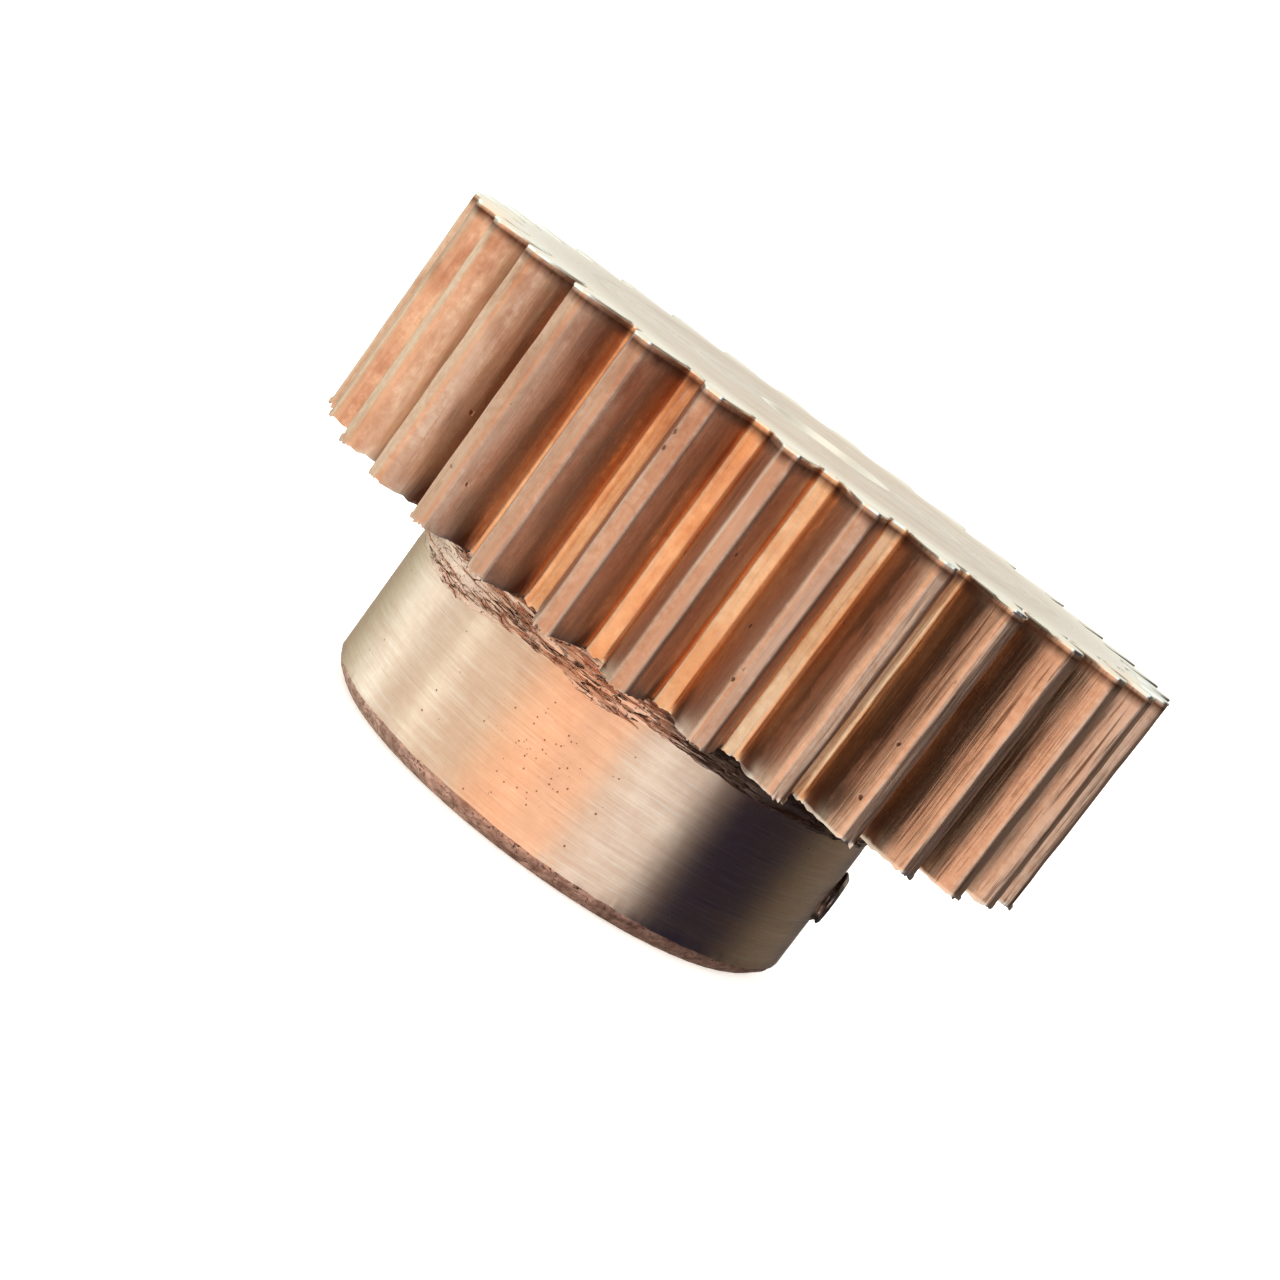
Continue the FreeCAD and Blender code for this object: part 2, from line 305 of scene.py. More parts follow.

# Colours of the marks on the teeth.
# Painted bounce light: the orange glow on the gap floors.
GAP_GLOW = (0.80, 0.39, 0.19)
# Painted shade on the flanks and painted highlight on the tips of the +X teeth.
PAINTED_FLANK_SHADE = (0.27, 0.185, 0.125)
PAINTED_TIP_LIGHT = (0.84, 0.51, 0.345)
BLOTCH_TINT = (0.80, 0.64, 0.54)
BLUSH_TINT = (0.66, 0.48, 0.42)
PALE_STREAK = (0.86, 0.62, 0.48)
FIBRE_SHADE = (0.22, 0.11, 0.065)
# Painted shade under the top lip, and darker low on the flanks and along some corners.
TOOTH_DARKENING = (0.16, 0.065, 0.035)
# Bright edges: partly worn metal, partly painted highlight.
WORN_AND_HIGHLIT_EDGE = (0.94, 0.72, 0.57)
TOOTH_PIT = (0.22, 0.10, 0.06)


def turned_bronze(name, light, dark, roughness, marks, mark_depth, line, radial=False, spread=0.0):
    """Bare turned bronze. marks stretches the tool marks, which repeat along its large axis.

    line is how strong the dark and bright marks are, and spread is how far the marks blur
    reflections across themselves. A radial face has its marks as rings round the axis, is painted
    brighter towards its rim, partly as wear and partly as a painted highlight, and is painted white
    as a highlight where the depth mask is painted: at the bore's mouth and over the teeth.
    """
    material, tree, shader, place = new_material(name)
    mark_place = radius_of(tree, place) if radial else place
    fine = noise_value(tree, stretched(tree, mark_place, marks), 1.0, 3.0, 0.6)
    broad = noise_value(tree, stretched(tree, mark_place, tuple(0.22 * m for m in marks)), 1.0, 3.0)
    stain = noise_value(tree, place, 0.35, 4.0, 0.6)
    mottle = noise_value(tree, place, 2.4, 3.0, 0.6)
    near = ramp(tree, times(tree, distance_to(tree, place, PIT_CLUSTER), 0.1),
                [(0.12, 0.85), (0.50, 0.02)])
    pit = pits(tree, place, 3.0, 0.15, near)
    big_pit = pits(tree, place, 0.7, 0.055, 0.08)
    hollow = combine(tree, "MAXIMUM", pit, big_pit)

    tone = add_all(tree, times(tree, stain, 0.45), times(tree, broad, 0.3), times(tree, mottle, 0.25))
    colour = mix_colour(tree, ramp(tree, tone, [(0.38, 0.0), (0.62, 1.0)]), light, dark)
    lines = ramp(tree, fine, [(0.32, line), (0.46, 0.0)])
    colour = mix_colour(tree, lines, colour, MARK_SHADE)
    glint = ramp(tree, fine, [(0.54, 0.0), (0.66, line)])
    colour = mix_colour(tree, glint, colour, MARK_GLINT)
    if radial:
        outer = add_all(tree, times(tree, distance_to(tree, mark_place, (0, 0, 0)), 1 / TIP_RADIUS),
                        times(tree, stain, 0.2), -0.1)
        # Painted highlight: brighter towards the rim, partly as wear, and white at the bore's mouth and
        # over the teeth.
        rubbed_and_lit = combine(tree, "MAXIMUM", ramp(tree, outer, [(0.68, 0.0), (0.88, 0.85)]),
                         ramp(tree, attribute(tree, "depth"), [(0.0, 0.0), (0.10, 1.0)]))
        colour = mix_colour(tree, rubbed_and_lit, colour, RUBBED_AND_HIGHLIGHT)
    colour = mix_colour(tree, times(tree, hollow, 0.8), colour, TURNED_PIT)
    tree.links.new(colour, shader.inputs["Base Color"])

    rough = add_all(tree, times(tree, stain, 0.14), times(tree, broad, 0.16), roughness - 0.15)
    tree.links.new(add_all(tree, rough, times(tree, hollow, 0.3)), shader.inputs["Roughness"])

    relief = bump(tree, broad, mark_depth * 2.4)
    relief = bump(tree, fine, mark_depth, relief)
    relief = bump(tree, combine(tree, "SUBTRACT", 1.0, hollow), 0.004, relief)
    tree.links.new(relief, shader.inputs["Normal"])
    shader.inputs["Metallic"].default_value = 1.0
    if spread:
        tangent = tree.nodes.new("ShaderNodeTangent")
        tangent.direction_type = "RADIAL"
        tangent.axis = "Z"
        tree.links.new(tangent.outputs["Tangent"], shader.inputs["Tangent"])
        shader.inputs["Anisotropic"].default_value = spread
        shader.inputs["Anisotropic Rotation"].default_value = 0.25
    return material


def rough_bronze(name, light, dark, crack, roughness, grain_stretch, crack_stretch, relief_depth):
    """Torn or as-cast bronze with dark cracks, in mm deep relief. The stretches shape its marks."""
    material, tree, shader, place = new_material(name)
    stain = noise_value(tree, place, 0.8, 4.0, 0.65)
    grain = noise_value(tree, stretched(tree, place, grain_stretch), 1.0, 5.0, 0.65)
    veins = noise_value(tree, stretched(tree, place, crack_stretch), 1.0, 3.0, 0.5)
    speck = noise_value(tree, place, 4.5, 3.0, 0.6)
    tone = add_all(tree, times(tree, stain, 0.45), times(tree, grain, 0.55))
    colour = mix_colour(tree, ramp(tree, tone, [(0.36, 0.0), (0.62, 1.0)]), dark, light)
    split = ramp(tree, veins, [(0.478, 0.0), (0.496, 1.0), (0.507, 1.0), (0.525, 0.0)])
    split = times(tree, split, ramp(tree, stain, [(0.42, 0.15), (0.58, 1.0)]))
    split = combine(tree, "MAXIMUM", split, ramp(tree, speck, [(0.62, 0.0), (0.70, 0.8)]))
    colour = mix_colour(tree, split, colour, crack)
    # Darker where paint() stores painted shade, up under the rim and on the +X side of the torn band,
    # broken up by the grain.
    darkened = ramp(tree, add_all(tree, attribute(tree, "darkening"), times(tree, grain, 0.7), -0.35),
                [(0.15, 0.0), (0.8, 1.0)])
    colour = mix_colour(tree, darkened, colour, crack)
    tree.links.new(colour, shader.inputs["Base Color"])
    rough = add_all(tree, times(tree, grain, 0.25), times(tree, split, 0.2), roughness - 0.12)
    tree.links.new(rough, shader.inputs["Roughness"])
    relief = bump(tree, grain, relief_depth)
    relief = bump(tree, combine(tree, "SUBTRACT", 1.0, split), relief_depth * 1.3, relief)
    tree.links.new(relief, shader.inputs["Normal"])
    shader.inputs["Metallic"].default_value = 1.0
    return material


def cut_bronze(name):
    """Tooth surfaces: bright orange gap floors, painted as bounce light, darker lower flanks, painted
    as shade, and paler tips and edges, partly worn metal and partly painted highlight.

    The masks come from paint(): depth is 0 on the gap floor and 1 on the land, edge is worn
    metal and painted highlight, the darkening mask is painted shade under the top lip and under
    the rim and is darker low on the flanks and along some corners, fibre is where the cutter left
    long torn streaks, the glow and blush mask is where the gap floors get a painted orange glow
    and the upper teeth a pinkish blush, and the lit side mask is the far -X side, where the flanks
    get painted highlights and shade.
    """
    material, tree, shader, place = new_material(name)
    depth = attribute(tree, "depth")
    edge = attribute(tree, "edge")
    darkening = attribute(tree, "darkening")
    fibre = attribute(tree, "fibre")
    stain = noise_value(tree, stretched(tree, place, (1.0, 1.0, 0.45)), 0.55, 4.0, 0.6)
    mottle = noise_value(tree, place, 2.2, 4.0, 0.65)
    streak = noise_value(tree, stretched(tree, place, (5.5, 5.5, 0.17)), 1.0, 3.0, 0.6, 0.5)
    broad = noise_value(tree, stretched(tree, place, (1.7, 1.7, 0.16)), 1.0, 3.0, 0.6)

    wander = add_all(tree, times(tree, stain, 1.1), times(tree, broad, 0.9),
                     times(tree, mottle, 0.3), -1.15)
    wander = times(tree, wander, combine(tree, "MINIMUM", times(tree, depth, 3.0), 1.0))
    wander = times(tree, wander, add_all(tree, times(tree, fibre, -0.62), 1.0))
    wander = times(tree, wander, add_all(tree, times(tree, attribute(tree, "lit_side"), -0.45), 1.0))
    level = add_all(tree, depth, wander, times(tree, fibre, -0.06))
    # Colour by depth in the gap: the bright orange floor is painted bounce light, the darker lower flanks
    # are painted shade, and the paler upper flanks are painted light.
    colour = ramp(tree, level, [
        (0.0, (0.90, 0.54, 0.31)), (0.06, (0.70, 0.46, 0.32)), (0.18, (0.52, 0.36, 0.27)),
        (0.42, (0.50, 0.35, 0.265)), (0.56, (0.60, 0.40, 0.30)), (0.70, (0.72, 0.45, 0.32)),
        (1.0, (0.64, 0.37, 0.25)),
    ])
    # Painted bounce light: an orange glow on the gap floors, strongest high on the -X teeth.
    glow = noise_value(tree, stretched(tree, place, (0.5, 0.5, 0.22)), 1.0, 2.0)
    glow = combine(tree, "MAXIMUM", ramp(tree, glow, [(0.42, 0.0), (0.58, 0.9)]), attribute(tree, "glow_and_blush"))
    glow = times(tree, glow, ramp(tree, depth, [(0.0, 1.0), (0.1, 0.0)]))
    colour = mix_colour(tree, glow, colour, GAP_GLOW)
    # Painted highlight and shade across the flanks on the far -X side: pale near the tip, dark lower down
    # and orange near the root.
    lit_side = ramp(tree, add_all(tree, attribute(tree, "lit_side"), times(tree, stain, 0.6), -0.3),
                 [(0.2, 0.0), (0.9, 1.0)])
    flank_light_and_shade = ramp(tree, level, [
        (0.04, (0.80, 0.42, 0.21)), (0.16, (0.40, 0.22, 0.135)), (0.34, (0.42, 0.25, 0.165)),
        (0.52, (0.74, 0.48, 0.33)), (0.66, (0.98, 0.70, 0.50)), (0.84, (0.84, 0.52, 0.355)),
        (1.0, (0.86, 0.56, 0.37)),
    ])
    colour = mix_colour(tree, times(tree, lit_side, 0.9), colour, flank_light_and_shade)
    # Painted shade on the lower flanks and painted highlight on the tips of the +X teeth.
    painted_side = ramp(tree, fibre, [(0.14, 0.0), (0.42, 1.0)])
    flank_shade = ramp(tree, level, [(0.0, 0.0), (0.08, 0.75), (0.46, 0.75), (0.66, 0.0)])
    flank_shade = times(tree, painted_side, flank_shade)
    colour = mix_colour(tree, flank_shade, colour, PAINTED_FLANK_SHADE)
    tip_light = times(tree, painted_side, ramp(tree, level, [(0.50, 0.0), (0.70, 0.8)]))
    colour = mix_colour(tree, tip_light, colour, PAINTED_TIP_LIGHT)
    blotch = ramp(tree, mottle, [(0.40, 0.0), (0.66, 0.55)])
    colour = mix_colour(tree, blotch, colour, BLOTCH_TINT, "MULTIPLY")
    blush = add_all(tree, times(tree, attribute(tree, "glow_and_blush"), 0.7), times(tree, lit_side, 0.35), 0.12)
    blush = times(tree, blush, ramp(tree, stain, [(0.45, 0.0), (0.68, 1.0)]))
    colour = mix_colour(tree, blush, colour, BLUSH_TINT, "MULTIPLY")
    pale = ramp(tree, add_all(tree, times(tree, broad, 0.6), times(tree, mottle, 0.4)),
                [(0.52, 0.0), (0.66, 0.35)])
    colour = mix_colour(tree, pale, colour, PALE_STREAK)
    lines = ramp(tree, streak, [(0.30, 1.0), (0.47, 0.0)])
    lines = times(tree, lines, add_all(tree, times(tree, fibre, 0.85), 0.06))
    colour = mix_colour(tree, lines, colour, FIBRE_SHADE)
    # Painted shade under the top lip, and darker low on the flanks and along some corners.
    darkened = ramp(tree, add_all(tree, darkening, times(tree, broad, 0.6), -0.30), [(0.18, 0.0), (0.75, 1.0)])
    colour = mix_colour(tree, darkened, colour, TOOTH_DARKENING)
    # Bright edges: partly worn metal, partly painted highlight, strongest on one side of the tooth
    # corners.
    worn = ramp(tree, add_all(tree, edge, times(tree, broad, 0.9), -0.45), [(0.25, 0.0), (0.85, 0.8)])
    colour = mix_colour(tree, worn, colour, WORN_AND_HIGHLIT_EDGE)
    pit = pits(tree, place, 0.8, 0.11, 0.09)
    colour = mix_colour(tree, pit, colour, TOOTH_PIT)
    tree.links.new(colour, shader.inputs["Base Color"])

    rough = ramp(tree, level, [(0.0, 0.30), (0.3, 0.40), (0.7, 0.46), (1.0, 0.44)])
    rough = add_all(tree, rough, times(tree, mottle, 0.12), times(tree, worn, -0.08),
                    times(tree, darkened, 0.15), -0.06)
    tree.links.new(rough, shader.inputs["Roughness"])

    relief = bump(tree, mottle, 0.014)
    relief = bump(tree, broad, 0.020, relief)
    fine_depth = times(tree, streak, add_all(tree, times(tree, fibre, 1.0), 0.35))
    relief = bump(tree, fine_depth, 0.022, relief)
    relief = bump(tree, combine(tree, "SUBTRACT", 1.0, pit), 0.06, relief)
    tree.links.new(relief, shader.inputs["Normal"])
    shader.inputs["Metallic"].default_value = 1.0
    return material


TURNED = turned_bronze("bronze_turned", (0.92, 0.61, 0.43), (0.82, 0.50, 0.34), 0.31,
                       (0.30, 0.30, 7.5), 0.0050, 0.30, spread=0.93)
FACED = turned_bronze("bronze_faced", (0.80, 0.68, 0.54), (0.64, 0.51, 0.39), 0.32,
                      (5.0, 0.0, 0.0), 0.0030, 0.55, radial=True, spread=0.6)
CUT = cut_bronze("bronze_cut")
TORN = rough_bronze("bronze_torn", (0.96, 0.62, 0.45), (0.64, 0.36, 0.25), (0.07, 0.035, 0.025),
                    0.38, (0.45, 0.45, 2.2), (0.24, 0.24, 1.7), 0.05)
CAST = rough_bronze("bronze_cast", (0.84, 0.47, 0.35), (0.30, 0.13, 0.085), (0.06, 0.03, 0.025),
                    0.52, (1.6, 1.6, 3.0), (1.5, 1.5, 3.0), 0.04)
WHEEL_MATERIALS = [FACED, CUT, TORN, CAST, TURNED]
FACED_AT, CUT_AT, TORN_AT, CAST_AT, TURNED_AT = range(5)


def steel(name):
    """Worn dark oxide on steel."""
    material, tree, shader, place = new_material(name)
    stain = noise_value(tree, place, 1.3, 4.0, 0.6)
    grain = noise_value(tree, place, 9.0, 3.0, 0.6)
    worn = ramp(tree, add_all(tree, times(tree, stain, 0.7), times(tree, grain, 0.3)),
                [(0.42, 0.0), (0.6, 1.0)])
    tree.links.new(mix_colour(tree, worn, (0.14, 0.10, 0.085), (0.52, 0.40, 0.34)),
                   shader.inputs["Base Color"])
    rough = add_all(tree, times(tree, worn, -0.14), 0.46)
    tree.links.new(rough, shader.inputs["Roughness"])
    tree.links.new(bump(tree, grain, 0.012, bump(tree, stain, 0.02)), shader.inputs["Normal"])
    shader.inputs["Metallic"].default_value = 1.0
    return material


STEEL = steel("steel_dark_oxide")


# ---------------------------------------------------------------- meshes

def ring(radii, angles, heights):
    """One closed row of points round the wheel's axis."""
    radii = np.broadcast_to(radii, angles.shape)
    heights = np.broadcast_to(heights, angles.shape)
    return np.stack([radii * np.cos(angles), radii * np.sin(angles), heights], axis=1)


def rough_noise(points, scale, seed=0.0, stretch=(1, 1, 1)):
    """Noise from about -1 to 1 at each point, blobs 1/scale mm across."""
    shift = Vector((seed * 17.3, seed * 9.1, seed * 5.7))
    factors = np.array(stretch) * scale
    return np.array([noise.noise(Vector(point * factors) + shift) for point in points])


class Skin:
    """Faces between rows of points. A row may have as many points as the last, twice or half."""

    def __init__(self):
        self.points = []
        self.faces = []
        self.materials = []
        self.count = 0
        self.first = None
        self.last = None

    def start(self, row):
        """Adds the first row."""
        self.first = self.last = self.add(row)

    def add(self, row):
        """Adds points without any faces, and returns their numbers."""
        indices = np.arange(self.count, self.count + len(row))
        self.points.append(row)
        self.count += len(row)
        return indices

    def to(self, row, material):
        """Adds a row and joins it to the last. material is one number, or one for each column."""
        indices = self.add(row)
        self._join(self.last, indices, material)
        self.last = indices

    def close(self, material):
        """Joins the last row back to the first."""
        self._join(self.last, self.first, material)

    def _join(self, above, below, material):
        """Quads between rows of one length, or three triangles a step where one is twice as fine."""
        columns = max(len(above), len(below))
        tags = np.broadcast_to(material, (columns,))
        for column in range(min(len(above), len(below))):
            if len(above) == len(below):
                after = (column + 1) % columns
                self.face(tags[column], above[column], below[column], below[after], above[after])
                continue
            fine_above = len(above) > len(below)
            fine, coarse = (above, below) if fine_above else (below, above)
            one, two, three = (fine[(2 * column + step) % columns] for step in range(3))
            near, far = coarse[column], coarse[(column + 1) % len(coarse)]
            for corners in ((one, near, two), (two, near, far), (two, far, three)):
                ordered = corners if fine_above else corners[::-1]
                self.face(tags[2 * column], *ordered)

    def face(self, material, *corners):
        """Adds one face through points already added."""
        self.faces.append([int(corner) for corner in corners])
        self.materials.append(int(material))

    def mesh(self, name):
        """The finished mesh, in metres."""
        mesh = bpy.data.meshes.new(name)
        mesh.from_pydata(np.concatenate(self.points) * MM, [], self.faces)
        mesh.polygons.foreach_set("material_index", self.materials)
        mesh.validate()
        mesh.update()
        return mesh


def half_gap():
    """Half a tooth gap, from the middle of its floor to the middle of the next tooth's land.

    Returns angles from the gap's middle, radii, and the angle of the tooth's corner. The flank is
    the arc that has the involute's curvature on the pitch circle, as in the CAD part; the corner at
    the tip is worn round.
    """
    flank_radius = PITCH_RADIUS * math.sin(PRESSURE_ANGLE)
    base_radius = PITCH_RADIUS * math.cos(PRESSURE_ANGLE)
    direction = math.pi / 2 / TOOTH_COUNT + PRESSURE_ANGLE
    centre = complex(math.cos(direction), math.sin(direction)) * base_radius

    def on_circle(radius, turn):
        return complex(math.cos(turn), math.sin(turn)) * radius

    def flank_point(radius):
        """Where the flank's arc crosses a circle round the wheel's axis."""
        reach = abs(centre)
        along = (reach ** 2 + radius ** 2 - flank_radius ** 2) / (2 * reach)
        across = math.sqrt(radius ** 2 - along ** 2)
        return centre / reach * complex(along, -across)

    flank = [flank_point(radius) for radius in
             np.linspace(ROOT_RADIUS + GAP_ROUND, TIP_RADIUS - TIP_ROUND, 7)]
    root = flank_point(ROOT_RADIUS)
    floor_end = math.atan2(root.imag, root.real) - GAP_ROUND * 0.7 / ROOT_RADIUS
    floor = [on_circle(ROOT_RADIUS, turn) for turn in np.linspace(0, floor_end, 3)]
    tip = flank_point(TIP_RADIUS)
    tip_angle = math.atan2(tip.imag, tip.real)
    land = [on_circle(TIP_RADIUS, turn) for turn in
            np.linspace(tip_angle + TIP_ROUND * 0.8 / TIP_RADIUS, HALF_PITCH, 5)]

    def rounded(start, corner, end):
        """Three points that round a corner."""
        return [start * (1 - t) ** 2 + corner * 2 * t * (1 - t) + end * t ** 2
                for t in (0.25, 0.5, 0.75)]

    points = floor + rounded(floor[-1], root, flank[0]) + flank
    points += rounded(flank[-1], tip, land[0]) + land
    return np.array([math.atan2(p.imag, p.real) for p in points]), np.abs(points), tip_angle


def tooth_profile():
    """Angles, radii and outward normals all round the rim, a tooth's middle on +X."""
    turn, radius, _ = half_gap()
    angles = np.concatenate([-turn[::-1], turn[1:-1]])
    radii = np.concatenate([radius[::-1], radius[1:-1]])
    all_angles = np.concatenate([angles + 2 * HALF_PITCH * (step + 0.5) for step in range(TOOTH_COUNT)])
    all_radii = np.tile(radii, TOOTH_COUNT)
    flat = np.stack([all_radii * np.cos(all_angles), all_radii * np.sin(all_angles)], axis=1)
    along = np.roll(flat, -1, axis=0) - np.roll(flat, 1, axis=0)
    normals = np.stack([along[:, 1], -along[:, 0]], axis=1)
    normals /= np.linalg.norm(normals, axis=1)[:, None]
    return all_angles, all_radii, normals


def offset_row(flat, normals, distance, height):
    """The tooth outline moved outwards by a distance, at a height."""
    moved = flat + normals * np.broadcast_to(distance, (len(flat),))[:, None]
    heights = np.broadcast_to(height, (len(flat),))
    return np.column_stack([moved, heights])


def fibre_mask(x, y):
    """How far the cutter tore the metal into long fibres: most on the +X side, nearest -Y."""
    return np.clip((x - 6) / 9, 0, 1) * np.clip(1.2 - y / 20, 0.3, 1) + 0.12


def rim_rows(skin, profile):
    """The toothed wall from the top face down, with its tool marks, ragged edges and burrs."""
    angles, radii, normals = profile
    flat = np.stack([radii * np.cos(angles), radii * np.sin(angles)], axis=1)
    outer = np.clip((radii - ROOT_RADIUS) / (TIP_RADIUS - ROOT_RADIUS), 0, 1)
    # How far the burrs stand out or hang down: broad lumps plus a fine ragged part.
    at_top = offset_row(flat, normals, 0, TOP)
    top_burr = np.clip(rough_noise(at_top, 0.7, 3.0) + 0.05, 0, 1) * (0.3 + 0.7 * outer) * 0.30
    top_burr += np.clip(rough_noise(at_top, 3.0, 4.0), 0, 1) * 0.07
    at_bottom = offset_row(flat, normals, 0, RIM_BOTTOM)
    bottom_burr = np.clip(rough_noise(at_bottom, 0.55, 7.0) + 0.15, 0, 1) * (0.35 + 0.65 * outer)
    bottom_burr = bottom_burr * 0.24 * (1 + 1.3 * rough_noise(at_bottom, 2.6, 8.0))
    bottom_burr += np.clip(rough_noise(at_bottom, 5.5, 9.0) + 0.10, 0, 1) * 0.24
    outward = np.clip(0.2 + rough_noise(at_bottom, 3.4, 10.0), 0, 0.5)

    # The top edge: a lip of the top face's metal that the burr folds over the teeth.
    skin.to(offset_row(flat, normals, -0.10, TOP), FACED_AT)
    lip_top = TOP - 0.035 + top_burr * 0.15
    skin.to(offset_row(flat, normals, -0.02 + top_burr * 0.5, lip_top), FACED_AT)
    skin.to(offset_row(flat, normals, top_burr * 0.45, TOP - 0.10 - top_burr * 0.3), FACED_AT)
    skin.to(offset_row(flat, normals, top_burr * 0.05 - 0.02, TOP - 0.17 - top_burr * 0.45), FACED_AT)

    # The teeth: flutes along the axis, deepest on the flanks, on gentle waves and worn lands.
    heights = np.linspace(TOP - 0.45, RIM_BOTTOM + 0.45, 20)
    fibre = fibre_mask(flat[:, 0], flat[:, 1])
    sides = 1 - np.abs(normals[:, 0] * np.cos(angles) + normals[:, 1] * np.sin(angles)) ** 2
    for height in heights:
        row = offset_row(flat, normals, 0, height)
        flutes = rough_noise(row, 1.0, 11.0, (2.1, 2.1, 0.10)) * (0.035 + 0.045 * fibre)
        fine = rough_noise(row, 1.0, 12.0, (4.6, 4.6, 0.35)) * (0.018 + 0.030 * fibre)
        wave = rough_noise(row, 0.45, 13.0) * 0.025
        wear = np.abs(rough_noise(row, 0.9, 14.0, (1, 1, 0.6))) * 0.045 * outer ** 6
        depth = (flutes + fine) * (0.25 + 0.75 * sides) + wave - wear
        skin.to(offset_row(flat, normals, depth, height), CUT_AT)

    # The lower edge: a ragged burr that hangs down and leans out here and there.
    skin.to(offset_row(flat, normals, -0.02, RIM_BOTTOM + 0.20), CUT_AT)
    lip = RIM_BOTTOM - bottom_burr
    skin.to(offset_row(flat, normals, bottom_burr * outward - 0.02, RIM_BOTTOM + 0.06), CUT_AT)
    skin.to(offset_row(flat, normals, bottom_burr * outward - 0.05, lip), CUT_AT)
    skin.to(offset_row(flat, normals, bottom_burr * 0.10 - 0.12, lip + 0.02), CUT_AT)
    skin.to(offset_row(flat, normals, -0.20, RIM_BOTTOM), CUT_AT)


def face_rows(skin, angles, radii, height, material, outwards):
    """A turned flat face between the bore's mouth and the rim or hub edge, as a few rings.

    Rings nearer the bore have half and then a quarter of the points.
    """
    half_below, quarter_below = 9, 5.5
    for radius in (radii if outwards else radii[::-1]):
        step = 1
        if radius < half_below:
            step = 2
        if radius < quarter_below:
            step = 4
        skin.to(ring(radius, angles[::step], height), material)


def torn_edge(angles):
    """Height of the ragged lower edge of the rough band under the rim, round the hub."""
    spots = ring(HUB_RADIUS, angles, 0.0)
    edge = TORN_EDGE + 0.22 * rough_noise(spots, 0.7, 22.0) + 0.10 * rough_noise(spots, 2.2, 23.0)
    for middle, width, drop in TORN_LOBES:
        away = (angles - math.radians(middle) + math.pi) % (2 * math.pi) - math.pi
        edge = edge - drop * np.exp(-(away / math.radians(width)) ** 2)
    return edge


def torn_relief(row, broad, fine):
    """Layered relief of torn metal, of the given heights in mm, for a row round the hub."""
    rough = rough_noise(row, 1.0, 32.0, (0.30, 0.30, 2.4)) * broad
    rough += rough_noise(row, 1.0, 33.0, (0.9, 0.9, 4.5)) * fine
    return rough


def torn_rows(skin, angles, edge):
    """The rough underside of the rim and the torn fillet, down to the band's ragged edge."""
    for radius in (21.2, 20.0, HUB_RADIUS + HUB_FILLET):
        row = ring(radius, angles, RIM_BOTTOM)
        row[:, 2] += rough_noise(row, 0.8, 31.0) * 0.05
        skin.to(row, TORN_AT)
    turn_steps = 16
    for step in range(1, turn_steps + 1):
        lean = step / turn_steps * math.pi / 2
        radius = HUB_RADIUS + HUB_FILLET * (1 - math.sin(lean))
        height = RIM_BOTTOM - HUB_FILLET * (1 - math.cos(lean))
        height = height + np.maximum(edge - height, 0) * TORN_FOLLOW
        bulge = 0.10 + torn_relief(ring(radius, angles, height), 0.13, 0.07)
        row = ring(radius + bulge * math.sin(lean), angles, height - bulge * math.cos(lean) * 0.5)
        skin.to(row, TORN_AT)
    top_of_wall = RIM_BOTTOM - HUB_FILLET
    start = top_of_wall + np.maximum(edge - top_of_wall, 0) * TORN_FOLLOW
    wall_steps = 8
    for step in range(1, wall_steps + 1):
        share = step / wall_steps
        height = start + (edge - start) * share
        rough = torn_relief(ring(HUB_RADIUS, angles, height), 0.09, 0.05)
        bulge = np.clip(0.08 + rough, 0.01, 1) * (1 - 0.75 * share)
        skin.to(ring(HUB_RADIUS + bulge, angles, height), TORN_AT)
    skin.to(ring(HUB_RADIUS - 0.03, angles, edge - 0.04), TORN_AT)


def hub_rows(skin, angles):
    """Rim underside, torn fillet, turned wall and chamfered end of the hub."""
    edge = torn_edge(angles)
    torn_rows(skin, angles, edge)
    wall_rows = 12
    below_edge = 0.09
    for step in range(1, wall_rows + 1):
        share = step / wall_rows
        height = edge - below_edge + (CHAMFER_TOP - edge + below_edge) * share
        row = ring(HUB_RADIUS, angles, height)
        wave = rough_noise(row, 1.0, 41.0, (0.03, 0.03, 0.9)) * 0.006
        if step == wall_rows:
            height = height + rough_noise(row, 0.9, 42.0) * 0.07
        skin.to(ring(HUB_RADIUS + wave, angles, height), TURNED_AT)
    chamfer_steps = 7
    for step in range(1, chamfer_steps + 1):
        share = step / chamfer_steps
        height = CHAMFER_TOP * (1 - share)
        radius = HUB_RADIUS - EDGE_DEPTH * share ** 1.6
        row = ring(radius, angles, height)
        rough = rough_noise(row, 1.5, 43.0) * 0.07 + rough_noise(row, 4.2, 44.0) * 0.045
        if step == chamfer_steps:
            rough = rough * 0.5
        skin.to(ring(radius + rough - 0.02, angles, height), CAST_AT)


